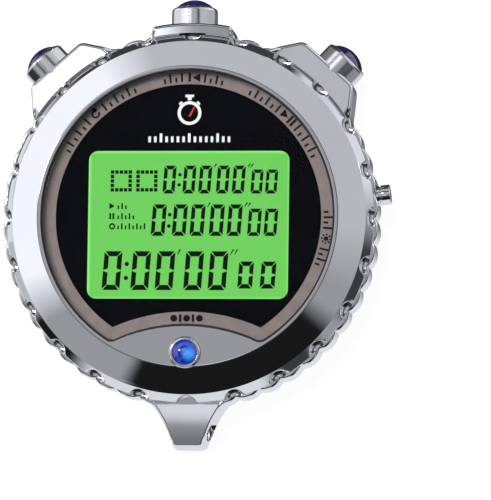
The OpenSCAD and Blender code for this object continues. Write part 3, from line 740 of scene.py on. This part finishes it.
def mid_case():
    """The casting as one skin of rings from the cover's edge, round the outside and down into the hollow."""
    columns = LOBES * 30
    theta = np.arange(columns) * 2 * math.pi / columns
    knurl = knurl_radius(theta)
    bosses = np.maximum(np.maximum(side_boss_radius(theta, START + BOSS_TURN),
                                   side_boss_radius(theta, LAP - BOSS_TURN)), recall_boss_radius(theta))
    lug = lug_radius(theta)
    radius = smooth_max(knurl, bosses, 0.25)
    radius = smooth_max(radius, lug, 0.25)
    px, py = radius * np.cos(theta), radius * np.sin(theta)
    tx, ty = np.roll(px, -1) - np.roll(px, 1), np.roll(py, -1) - np.roll(py, 1)
    length = np.hypot(tx, ty)
    nx, ny = ty / length, -tx / length
    ux, uy = np.cos(theta), np.sin(theta)

    raised = smoothstep(bosses - 30.55, 0.25, 1.3)
    solid = smoothstep(np.maximum(bosses, lug) - 30.5, 0.0, 0.5)
    lugness = smoothstep(lug - 30.6, 0.0, 1.2)
    top = RIM_Z + (BOSS_TOP - RIM_Z) * raised
    bottom = WALL_FOOT - 0.8 * raised + 0.2 * lugness
    edge_top = EDGE_TOP + 0.2 * raised - 0.2 * lugness
    edge_low = EDGE_LOW + 0.1 * raised + 0.4 * lugness
    inner = WALL_R + (BOSS_WALL_R - WALL_R) * solid

    rows = []

    def ring(r, z):
        rows.append((ux * r, uy * r, np.full(columns, float(z)) if np.isscalar(z) else z))

    def inset(amount, z):
        rows.append((px - nx * amount, py - ny * amount, z))

    def front_height(x, y):
        return (1 - lugness) * boss_front(top, x, y) + lugness * lug_front(y)

    ring(COVER_R + 0.12, COVER_T)
    for r, z in rounded([(COVER_R + 0.12, 0.8, 0), (COVER_R + 0.12, HEEL_Z, 0.12), (HEEL_R, HEEL_Z, 0.35),
                         (29.6, 2.5, 0)])[:-1]:
        ring(r, z)
    for t in (0.35, 0.7, 1.0):
        z = HEEL_Z + 0.25 + (bottom - HEEL_Z - 0.25) * t
        ring(HEEL_R + 0.15 + (z - HEEL_Z - 0.1) * 0.95, z - 0.02 * t)
    start_x, start_y, start_z = rows[-1]
    for t in (0.06, 0.35, 0.65, 0.94):
        ex, ey = px - nx * edge_low, py - ny * edge_low
        rows.append((start_x + (ex - start_x) * t, start_y + (ey - start_y) * t,
                     start_z + (bottom - start_z) * t))
    for i in range(7):
        a = math.pi / 2 * i / 6
        inset(edge_low * (1 - math.sin(a)), bottom + edge_low * (1 - math.cos(a)))
    wall_low = bottom + edge_low
    border = LUG_LEAN * lugness + edge_top
    ex, ey = px - nx * border, py - ny * border
    crown = front_height(ex, ey) - edge_top
    for t in (0.03, 0.25, 0.5, 0.75, 0.97):
        inset(LUG_LEAN * lugness * t ** 2, wall_low + (crown - wall_low) * t)
    for i in range(7):
        a = math.pi / 2 * i / 6
        inset(LUG_LEAN * lugness + edge_top * (1 - math.cos(a)), crown + edge_top * math.sin(a))
    for t in (0.04, 0.15, 0.27, 0.39, 0.51, 0.63, 0.75, 0.87, 0.96, 1.0):
        x, y = ex + (ux * inner - ex) * t, ey + (uy * inner - ey) * t
        rows.append((x, y, front_height(x, y) - dimple(x, y) * (1 - solid)))
    for t in (0.0, 0.2, 0.4, 0.6, 0.8, 1.0):
        r = (inner - 0.03) * (1 - t) + SEAT_R * t
        x, y = ux * r, uy * r
        rows.append((x, y, SEAT_Z - dimple(x, y) * solid * (1 - lugness)))
    for r, z in ((SEAT_END_R, SEAT_Z), (HOLLOW_R, SEAT_Z), (HOLLOW_R, HOLLOW_Z), (COVER_STEP_R, HOLLOW_Z),
                 (COVER_STEP_R, COVER_T + 0.02)):
        ring(r, z)
    verts = np.vstack([np.column_stack(row) for row in rows])
    obj = new_object("case_casting", verts, grid_faces(len(rows), columns, True), CHROME_CASE)
    fix_normals(obj)

    # Bores for the four radial buttons and the lanyard
    cutters = []
    for angle, rim_r, mouth, cut in ((START, SIDE_RIM, BOSS_R, 0.0), (LAP, SIDE_RIM, BOSS_R, 0.0),
                                     (RECALL, RECALL_RIM, RECALL_BOSS_R, SKIRT_CUT)):
        outer = CAP_R + 0.07
        seat = rim_r - CAP_LEN - COIL_ROOM
        profile = [(0, BORE_FROM), (1.15, BORE_FROM), (1.15, seat), (2.4, seat), (2.4, seat + cut + 0.001),
                   (outer, seat + cut + 0.001), (outer, mouth - 0.12), (outer + 0.25, mouth + 0.13),
                   (outer + 0.25, BORE_TO), (0, BORE_TO)]
        cutters.append(revolve("cut", profile, CHROME_CASE, 96, radial(angle)))
    profile = [(0, BORE_FROM), (0.65, BORE_FROM), (0.65, LIGHT_SEAT), (1.72, LIGHT_SEAT), (1.72, BORE_TO),
               (0, BORE_TO)]
    cutters.append(revolve("cut", profile, CHROME_CASE, 64, radial(LIGHT)))
    across = Matrix.Translation((0, BORE_Y * MM, BORE_Z * MM)) @ Matrix.Rotation(math.radians(90), 4, "Y")
    half = [(BORE_R, BORE_HALF - 0.2), (BORE_R + 0.2, BORE_HALF), (SPOT_R, BORE_HALF), (SPOT_R, 9), (0, 9)]
    profile = [(r, -z) for r, z in reversed(half)] + half
    cutters.append(revolve("cut", profile, CHROME_CASE, 96, across))
    subtract(obj, *cutters)
    finish_piece(obj, "case", ["mid_case"], sharp=30, weighted=True)


# ---------------------------------------------------------------- buttons
def crown_button(name, angle, rim_r, skirt_cut=0.0):
    """A chrome cap that stands outwards from the case, with a stone in its end."""
    place = radial(angle)
    base = rim_r - CAP_LEN
    skirt = base + skirt_cut
    outer = rounded([(2.9, skirt, 0.05), (CAP_R, skirt, 0.12), (CAP_R, rim_r, 0.62), (3.28, rim_r, 0.06),
                     (3.2, rim_r - 0.25, 0), (3.2, rim_r - 0.5, 0)], steps=7)
    pocket = base + 2.4
    inner = [(0, rim_r - 0.5), (0, base + 3.3), (1.1, base + 3.3), (1.1, pocket), (2.9, pocket)]
    cap = revolve(f"{name}_cap_chrome", outer + inner, CHROME_BUTTON, 128, place)
    finish_piece(cap, f"{name}_button", [f"{name}_cap"], weighted=True)
    cabochon(name, STONE_R, rim_r - 0.49, rim_r, rim_r + STONE_H, 20, NAVY, place)
    coil_piece(name, 2.0, 0.25, 4, base - COIL_ROOM, pocket, place)


def cabochon(button, r, seat, rim, top, steps, material, place):
    """A stone with a round top, on a straight edge from its seat to the rim."""
    h = top - rim
    big = (r * r + h * h) / (2 * h)
    swing = math.asin(r / big)
    profile = [(0, seat), (r, seat)]
    for i in range(steps):
        a = swing * (1 - i / steps)
        profile.append((big * math.sin(a), top - big + big * math.cos(a)))
    obj = revolve(f"{button}_stone", profile + [(0, top)], material, 96, place)
    finish_piece(obj, f"{button}_button", [f"{button}_cabochon"], sharp=40)


def grooves(r, *cuts):
    """Profile points of the grooves in a stem, each cut as (radius, start, end)."""
    return [(q, z, 0) for deep, start, end in cuts
            for q, z in ((r, start), (deep, start), (deep, end), (r, end))]


def coil_piece(button, r, wire, turns, z0, z1, place):
    """Compression spring with closed ends."""
    per_turn, sides = 28, 10
    steps = turns * per_turn
    verts = []
    for i in range(steps + 1):
        t = i / steps
        a = 2 * math.pi * turns * t
        z = z0 + wire + (z1 - z0 - 2 * wire) * (0.35 * float(smoothstep(t, 0.0, 1.0)) + 0.65 * t)
        for j in range(sides):
            b = 2 * math.pi * j / sides
            q = r + wire * math.cos(b)
            verts.append((q * math.cos(a), q * math.sin(a), z + wire * math.sin(b)))
    faces = grid_faces(steps + 1, sides, False)
    faces.append(list(range(sides - 1, -1, -1)))
    faces.append([steps * sides + j for j in range(sides)])
    obj = new_object(f"{button}_coil", verts, faces, WIRE, place)
    fix_normals(obj)
    finish_piece(obj, "case", [f"{button}_spring"], sharp=50)
    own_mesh(obj)


def light_button():
    """A small plain cap with a turned line, in one piece with its stem."""
    place = radial(LIGHT)
    head = LIGHT_END - LIGHT_HEAD
    outer = [(0, 24.45, 0), (LIGHT_STEM_R, 24.45, 0.05)]
    outer += grooves(LIGHT_STEM_R, (0.4, 26.3, 26.6), (0.4, 27.9, 28.2))
    outer += [(LIGHT_STEM_R, head, 0), (LIGHT_R, head, 0.06), (LIGHT_R, LIGHT_END - 1.8, 0.04),
              (LIGHT_R - 0.2, LIGHT_END - 1.72, 0.03), (LIGHT_R - 0.2, LIGHT_END - 1.55, 0.03),
              (LIGHT_R, LIGHT_END - 1.47, 0.04), (LIGHT_R, LIGHT_END, 0.22), (0, LIGHT_END, 0)]
    cap = revolve("light_cap_chrome", rounded(outer), CHROME_SMALL, 96, place)
    finish_piece(cap, "light_button", ["light_cap"], sharp=30, weighted=True)
    coil_piece("light", 1.2, 0.12, 4, LIGHT_SEAT, head, place)


def mode_button():
    """A chrome rim round a blue stone, in one piece with its stem."""
    place = Matrix.Translation((0, MODE_Y * MM, 0))
    base = MODE_SEAT
    outer = [(0, 7.95, 0), (MODE_STEM_R, 7.95, 0.06)]
    outer += grooves(MODE_STEM_R, (0.6, 9.5, 9.8), (0.62, 10.27, 10.63))
    outer += [(MODE_STEM_R, base, 0), (1.15, base, 0), (1.15, base + 0.5, 0), (1.95, base + 0.5, 0),
              (1.95, base, 0.03), (MODE_R, base, 0.05), (MODE_R, MODE_RIM, 0.24), (2.08, MODE_RIM, 0.08),
              (2.0, MODE_RIM - 0.16, 0), (2.0, MODE_RIM - 0.3, 0), (0, MODE_RIM - 0.3, 0)]
    cap = revolve("mode_cap_chrome", rounded(outer, steps=5), CHROME_SMALL, 96, place)
    finish_piece(cap, "mode_button", ["mode_cap"], sharp=30, weighted=True)
    cabochon("mode", MODE_STONE_R, MODE_RIM - 0.29, MODE_RIM, MODE_TOP, 16, BLUE, place)
    coil_piece("mode", 1.55, 0.15, 3, 11.0, base + 0.5, place)


# ---------------------------------------------------------------- window and dial
def window_and_dial():
    """The glass and its seal, the printed ring, the black dial and the display's front."""
    glass_edge = arch_gap(LENS_R, ARCH_R + GASKET_W, CORNER_R - 0.3)
    dial_edge = arch_gap(DIAL_R, ARCH_R + ARCH_BAND, 0.1)
    lens = plate("lens_glass", glass_edge, LENS_Z, LENS_TOP, GLASS, bevel=0.12)
    finish_piece(lens, "case", ["lens"], sharp=20)
    lens.visible_shadow = False
    hole = arch_gap(LENS_R + 0.02, ARCH_R + GASKET_W - 0.02, CORNER_R - 0.28)
    gasket = plate("lens_seal", arch_gap(OPENING_R - 0.01, ARCH_R + 0.01, CORNER_R - 0.02), LENS_Z,
                   LENS_TOP - 0.15, RUBBER, bevel=0.05, holes=[hole])
    finish_piece(gasket, "case", ["lens_gasket"])
    ring = plate("printed_ring", glass_edge, DIAL_BACK, DIAL_Z, TAUPE, holes=[dial_edge])
    finish_piece(ring, "case", ["dial_ring"], sharp=20)
    black = plate("black_dial", dial_edge, DIAL_BACK, DIAL_Z - 0.01, BLACK, bevel=0.03,
                  holes=[rounded_box(WINDOW_W, WINDOW_H, 0, WINDOW_Y, 1.5)])
    finish_piece(black, "case", ["dial_plate"], sharp=20)
    film = plate("display_front", rounded_box(WINDOW_W + 1.6, WINDOW_H + 1.6, 0, WINDOW_Y, 0.3),
                 FILM_TOP - 0.2, FILM_TOP, LCD, bevel=0.03)
    finish_piece(film, "case", ["lcd_film"], sharp=20)


# ---------------------------------------------------------------- display figures
INK_T = 0.02
SLANT, BAR_GAP, SMALL_GAP = 0.07, 0.09, 0.08


def add_marks(name, loops, z, material):
    """One thin raised print from many closed outlines."""
    obj = plate(name, loops[0], z, z + INK_T, material, holes=loops[1:])
    finish_piece(obj, "case", sharp=20)


def zero_segments(x, y, w, h, t, gap):
    """Outlines of the six lit bars of a seven-bar zero. (x, y) is the top left corner."""
    def lean(px, py):
        return (px + (py - (y - h / 2)) * SLANT, py)

    m = y - h / 2
    flat = t * 1.1
    tip = t * 0.1
    bars = []
    for near, far in ((y, y - flat), (y - h, y - h + flat)):
        bars.append([(x + gap + tip, near), (x + w - gap - tip, near), (x + w - t - gap * 0.3, far),
                     (x + t + gap * 0.3, far)])
    for outer_x, inner_x in ((x, x + t), (x + w, x + w - t)):
        for end, sign in ((y, -1), (y - h, 1)):
            bars.append([(outer_x, end + sign * (gap + tip)), (inner_x, end + sign * (flat + gap * 0.6)),
                         (inner_x, m - sign * t * 0.45), (outer_x, m - sign * gap * 0.7)])
    return [[lean(*p) for p in loop] for loop in bars]


def bar(x, y, w, h):
    """A small upright rectangle from its lower left corner."""
    return [(x, y), (x + w, y), (x + w, y + h), (x, y + h)]


def display_figures():
    left, top = -WINDOW_W / 2, WINDOW_Y + WINDOW_H / 2
    loops = []
    # Each row: first figure, top, height, width, pitch in a group, gaps to the next groups,
    # then the small figures' top, height and width
    rows = ((12.2, 2.3, 4.58, 1.98, 2.60, 3.26, 2.90, 3.04, 2.95, 3.93, 1.88),
            (10.38, 8.66, 5.16, 2.26, 2.92, 3.46, 3.16, 3.32, 9.36, 4.46, 2.1),
            (2.48, 16.34, 6.36, 2.94, 3.99, 4.72, 4.70, 4.78, 18.0, 4.42, 2.42))
    for x, y, h, w, pitch, hour_gap, minute_gap, second_gap, small_y, small_h, small_w in rows:
        t = 0.2 * w + 0.18
        starts = [x, x + hour_gap, x + hour_gap + pitch, x + hour_gap + pitch + minute_gap,
                  x + hour_gap + 2 * pitch + minute_gap]
        for sx in starts:
            loops += zero_segments(left + sx, top - y, w, h, t, BAR_GAP)
        small = starts[-1] + second_gap
        for sx in (small, small + pitch * 0.92):
            loops += zero_segments(left + sx, top - small_y, small_w, small_h, t * 0.88, SMALL_GAP)
        cx = left + x + w + (hour_gap - w) * 0.5
        for share, shift in ((0.33, 0.06), (0.69, -0.06)):
            loops.append(arc(cx + shift, top - y - h * share, 0.075 + t * 0.36, 0, 337.5, 15))
        for sx, marks in ((starts[2] + w, 1), (starts[4] + w, 2)):
            for k in range(marks):
                mx = left + sx + 0.3 * t + 0.24 + k * (0.24 + 0.9 * (t - 0.3))
                my = top - y + 0.3
                tall = 0.14 * h
                head = mx + tall * 0.42
                loops.append([(head, my), (head + 0.3, my), (mx + 0.1, my - tall), (mx, my - tall)])
    # Two dotted counters at the top left
    pitch, dot = 0.73, 0.57
    for sx in (3.5, 7.72):
        for i in range(4):
            for px, py in ((i, 0), (4, i), (4 - i, 4), (0, 4 - i)):
                loops.append(bar(left + sx + px * pitch, top - 3.07 - dot - py * pitch, dot, dot))
    # Three status lines, each a wedge, a double bar or a ring with a level of bars behind it
    for row in range(3):
        y = top - 9.45 - row * 1.66
        x = left + 3.35
        if row == 0:
            loops.append([(x, y), (x + 0.9, y + 0.5), (x, y + 1.0)])
        elif row == 1:
            loops += [bar(x, y, 0.32, 1.0), bar(x + 0.52, y, 0.32, 1.0)]
        else:
            loops += [arc(x + 0.5, y + 0.5, 0.52, 0, 345, 23), arc(x + 0.5, y + 0.5, 0.27, 345, 0, 23)]
        loops += [bar(x + 1.35 + k * 0.62, y, 0.26, 1.0 if k % 2 else 0.62) for k in range((3, 5, 8)[row])]
    add_marks("display_figures", loops, FILM_TOP + 0.005, SEGMENT)


# ---------------------------------------------------------------- prints on the dial
PRINT_R, PRINT_H = 22.86, 1.45


def on_ring(angle, shape):
    """A shape drawn upright about the origin, carried round to an angle of the printed ring."""
    a = math.radians(angle)
    return [((PRINT_R + y) * math.cos(a) + x * math.sin(a), (PRINT_R + y) * math.sin(a) - x * math.cos(a))
            for x, y in shape]


def play(x):
    return [(x, -PRINT_H / 2), (x + 1.3, 0), (x, PRINT_H / 2)]


def turn_arrow():
    """Three quarters of a ring with an arrow head on its end."""
    ring = arc(0, 0, 0.74, 75, 350, 18) + arc(0, 0, 0.4, 350, 75, 18)
    return [ring, [(0.12, 0.08), (0.12, 1.0), (0.82, 0.55)]]


def lamp():
    """A disc with eight short rays."""
    shapes = [arc(0, 0, 0.38, 0, 337.5, 15)]
    for k in range(8):
        a, b = math.radians(45 * k - 11), math.radians(45 * k + 11)
        shapes.append([(r * math.cos(t), r * math.sin(t))
                       for r, t in ((0.52, a), (0.84, a), (0.84, b), (0.52, b))])
    return shapes


def dial_prints():
    """Pictograms for the buttons with scale ticks beside them, and a small emblem over a scale bar."""
    half = PRINT_H / 2
    signs = (
        (132.5, turn_arrow(), 19.0, 6, 4.6),
        (88.5, [[(-0.2, 0), (1.1, half), (1.1, -half)], bar(-0.85, -half, 0.42, PRINT_H)], 12.0, 4, 4.8),
        (45.0, [play(-1.35), bar(0.2, -half, 0.42, PRINT_H), bar(0.92, -half, 0.42, PRINT_H)], 19.0, 6, 5.6),
        (-9.0, lamp(), 11.0, 4, 4.4),
    )
    loops = []
    for middle, shapes, reach, ticks, clear in signs:
        loops += [on_ring(middle, shape) for shape in shapes]
        for side in (-1, 1):
            for k in range(ticks):
                length = PRINT_H if k % 2 == 0 else PRINT_H * 0.55
                angle = middle + side * (clear + (reach - clear) * k / (ticks - 1))
                loops.append(on_ring(angle, bar(-0.17, -half, 0.34, length)))
    for k in range(-2, 3):
        upright = bar(k * 1.05 - 0.2, -17.2, 0.4, 1.25)
        loops.append(upright if k % 2 else arc(k * 1.05, -16.58, 0.56, 0, 345, 23))
    add_marks("ring_signs", loops, DIAL_Z + 0.002, DARK_PRINT)

    cy = 17.0
    emblem = [arc(0, cy, 1.95, 0, 352.5, 47), arc(0, cy, 1.45, 352.5, 0, 47),
              bar(-0.32, cy + 2.1, 0.64, 0.5), bar(-0.7, cy + 2.6, 1.4, 0.42)]
    x, y = 1.45, cy + 1.62
    emblem.append([(-x - 0.1, y - 0.35), (-x + 0.35, y + 0.1), (-x + 0.1, y + 0.35), (-x - 0.35, y - 0.1)])
    emblem.append([(x + 0.1, y - 0.35), (x + 0.35, y - 0.1), (x - 0.1, y + 0.35), (x - 0.35, y + 0.1)])
    scale = [bar(-6.7 + k * 0.93, 12.2, 0.42, 1.45 if k % 5 == 2 else 0.95) for k in range(15)]
    add_marks("white_signs", emblem + scale, DIAL_Z, WHITE_PRINT)
    hand = [(-0.2, cy - 0.55), (0.2, cy - 0.55), (1.0, cy + 1.2), (0.86, cy + 1.28)]
    add_marks("red_hand", [hand], DIAL_Z, RED_PRINT)


front_bezel()
mid_case()
crown_button("lap", LAP, SIDE_RIM)
crown_button("recall", RECALL, RECALL_RIM, SKIRT_CUT)
crown_button("start", START, SIDE_RIM)
light_button()
mode_button()
window_and_dial()
display_figures()
dial_prints()

# CAD nodes that keep their own shape
CARRIED = {
    "lcd_cell": FILM, "backlight_panel": LCD, "zebra_strips": ZEBRA, "module_frame": WHITE_PLASTIC,
    "circuit_board": BOARD, "chip_cover": EPOXY, "quartz_can": NICKEL, "board_components": CERAMIC,
    "switch_contacts": BRASS, "battery": BATTERY, "battery_clip": BRASS, "battery_contact": BRASS,
    "board_screws": SCREW, "back_cover": COVER, "back_gasket": RUBBER, "back_screws": SCREW,
    "buzzer_disc": BRASS, "buzzer_springs": WIRE, "lap_stem": STEEL, "recall_stem": STEEL,
    "start_stem": STEEL,
}
for button in ("lap", "recall", "start", "light", "mode"):
    CARRIED[f"{button}_seal"] = RUBBER
    CARRIED[f"{button}_clip"] = WIRE
for node, material in CARRIED.items():
    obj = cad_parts[node]
    obj.data.materials.clear()
    obj.data.materials.append(material)


# ---------------------------------------------------------------- studio
def floor():
    """Pale paper under the object. From below it is clear, so that the back can be looked at."""
    size = 1200
    material, tree, shader = new_material("floor_paper")
    set_inputs(shader, Roughness=0.9, Specular_IOR_Level=0.0, Emission_Color=(1, 1, 1, 1),
               Emission_Strength=0.9)
    vary(tree, shader, "Base Color", noise(tree, 8, 3), (0.3, 0.24), (0.7, 0.26))
    mix = tree.nodes.new("ShaderNodeMixShader")
    tree.links.new(tree.nodes.new("ShaderNodeNewGeometry").outputs["Backfacing"], mix.inputs["Fac"])
    tree.links.new(shader.outputs["BSDF"], mix.inputs[1])
    tree.links.new(tree.nodes.new("ShaderNodeBsdfTransparent").outputs["BSDF"], mix.inputs[2])
    tree.links.new(mix.outputs["Shader"], tree.nodes["Material Output"].inputs["Surface"])
    corners = [(-size, -size, 0), (size, -size, 0), (size, size, 0), (-size, size, 0)]
    obj = new_object("floor", corners, [(0, 1, 2, 3)], material)
    obj.location.z = -0.2 * MM
    obj.visible_glossy = False


def card(level, gain=1.0):
    """Linear colour of a card or lamp of one display level, 0 to 255, a little cool."""
    return tuple(gain * ((level * tint / 255 + 0.055) / 1.055) ** 2.4 for tint in (1.0, 1.01, 1.04))


WHITE_CARD = card(255)
PALE_CARD = card(225)
LIGHT_CARD = card(190)
GREY_CARD = card(155)
DIM_CARD = card(120)
DARK_CARD = card(60)
BLACK_CARD = card(25)
# Broad cards round the object, as (first azimuth, last azimuth, shade), with soft edges in the gaps between
# them. The upper ring lights the sloping face and the lower ring the steep band under it.
UPPER = (
    (-180, -170, WHITE_CARD), (-155, -125, GREY_CARD), (-120, -40, BLACK_CARD),
    (-30, -20, GREY_CARD), (5, 110, LIGHT_CARD), (125, 180, WHITE_CARD),
)
LOWER = (
    (-180, -160, LIGHT_CARD), (-155, -140, BLACK_CARD), (-130, -70, PALE_CARD),
    (-60, -50, DARK_CARD), (-40, -35, GREY_CARD), (-25, -5, DARK_CARD),
    (20, 60, PALE_CARD), (65, 130, DARK_CARD), (150, 180, PALE_CARD),
)
# Soft boxes overhead: azimuth, elevation, outer and inner half width in degrees, shade
SOFTBOXES = ((-130, 83, 7, 2, PALE_CARD), (135, 65, 12, 8, card(255, 1.25)), (70, 73, 10, 6, LIGHT_CARD))
# Heights, as the sine of the elevation, where the lower ring and the upper ring take over
LOWER_EDGE, UPPER_EDGE = (-0.62, -0.48), (0.34, 0.5)
# The same for Y, from pale to dark under the object and from grey to dim across the sheet
UNDER_EDGE, SHEET_FADE = (-0.05, 0.2), (-0.17, -0.30)
# Soft edges of the dark flag and of the sheet inside it, in degrees from the way overhead
FLAG_EDGE, SHEET_EDGE = (39, 35), (27, 23)
# Small lamps: azimuth, elevation, half width in degrees and gain
SPARKLES = ((155, 51, 7.0, 9.0), (24, 0, 3.0, 7.0), (158, 0, 3.0, 7.0), (72, 0, 2.5, 7.0))
# The key light, in metres and watts
KEY_AT, KEY_SIZE, KEY_POWER = (-0.25, 0.3, 0.7), 0.6, 7.0


# Camera: the point at the middle of the picture, the height of the picture there and the camera's tilts
AIM = Vector((9.5, -5.46, 11.5))
PICTURE_H = 81.1
DISTANCE = 700.0
TILT_RIGHT, TILT_DOWN, ROLL = 6.4, 5.9, 0.74
SENSOR = 36.0


def camera_side():
    """Direction from the object to the camera."""
    return Vector((math.tan(math.radians(TILT_RIGHT)), -math.tan(math.radians(TILT_DOWN)), 1)).normalized()


def studio():
    """A studio of two rings of cards round the object, and a sheet with soft boxes above a dark flag."""
    world = bpy.data.worlds.new("studio")
    world.use_nodes = True
    bpy.context.scene.world = world
    tree = world.node_tree
    direction = tree.nodes.new("ShaderNodeTexCoord").outputs["Generated"]
    way = axes(tree, direction)
    turn = progress(tree, maths(tree, "ARCTAN2", way["Y"], way["X"]), -math.pi, math.pi)

    def ring_of(cards):
        stops = [(azimuth, shade) for first, last, shade in cards for azimuth in (first, last)]
        return ramp(tree, turn, *(((a + 180) / 360, c) for a, c in stops))

    def blend(first, second, source, start, end):
        """second takes over from first as the source value goes from start to end."""
        share = progress(tree, source, start, end, "SMOOTHSTEP")
        return mix_colours(tree, share, first, second)

    def facing(target):
        """Cosine of the angle between a direction in the room and the given one."""
        return vector_maths(tree, "DOT_PRODUCT", direction, target)

    def towards(azimuth, elevation):
        a, e = math.radians(azimuth), math.radians(elevation)
        return facing((math.cos(a) * math.cos(e), math.sin(a) * math.cos(e), math.sin(e)))

    def cosine(degrees):
        return math.cos(math.radians(degrees))

    overhead = facing(camera_side() * Vector((-1, -1, 1)))
    below = blend(PALE_CARD, DARK_CARD, way["Y"], *UNDER_EDGE)
    room = blend(below, ring_of(LOWER), way["Z"], *LOWER_EDGE)
    room = blend(room, ring_of(UPPER), way["Z"], *UPPER_EDGE)
    room = blend(room, DARK_CARD, overhead, *map(cosine, FLAG_EDGE))
    top = blend(GREY_CARD, DIM_CARD, way["Y"], *SHEET_FADE)
    for azimuth, elevation, outer, inner, shade in SOFTBOXES:
        top = blend(top, shade, towards(azimuth, elevation), cosine(outer), cosine(inner))
    room = blend(room, top, overhead, *map(cosine, SHEET_EDGE))
    for azimuth, elevation, width, gain in SPARKLES:
        room = blend(room, card(255, gain), towards(azimuth, elevation), cosine(width), cosine(width * 0.6))
    tree.links.new(room, tree.nodes["Background"].inputs["Color"])


def key_light():
    """One soft disc of light, which the chrome and the glass don't mirror."""
    data = bpy.data.lights.new("key", "AREA")
    data.shape = "DISK"
    data.size = KEY_SIZE
    data.energy = KEY_POWER
    obj = bpy.data.objects.new("key", data)
    bpy.context.collection.objects.link(obj)
    obj.location = KEY_AT
    obj.rotation_euler = (-obj.location).to_track_quat("-Z", "Y").to_euler()
    obj.visible_glossy = False
    obj.visible_transmission = False


def camera():
    towards = camera_side()
    data = bpy.data.cameras.new("camera")
    data.sensor_width = SENSOR
    data.lens = SENSOR * DISTANCE / PICTURE_H
    data.clip_start, data.clip_end = 0.01, 10
    obj = bpy.data.objects.new("camera", data)
    bpy.context.collection.objects.link(obj)
    obj.location = (AIM + towards * DISTANCE) * MM
    right = Vector((0, 1, 0)).cross(towards).normalized()
    up = towards.cross(right)
    obj.rotation_mode = "QUATERNION"
    level = Matrix((right, up, towards)).transposed().to_quaternion()
    obj.rotation_quaternion = level @ Quaternion((0, 0, 1), math.radians(ROLL))
    bpy.context.scene.camera = obj


floor()
studio()
key_light()
camera()
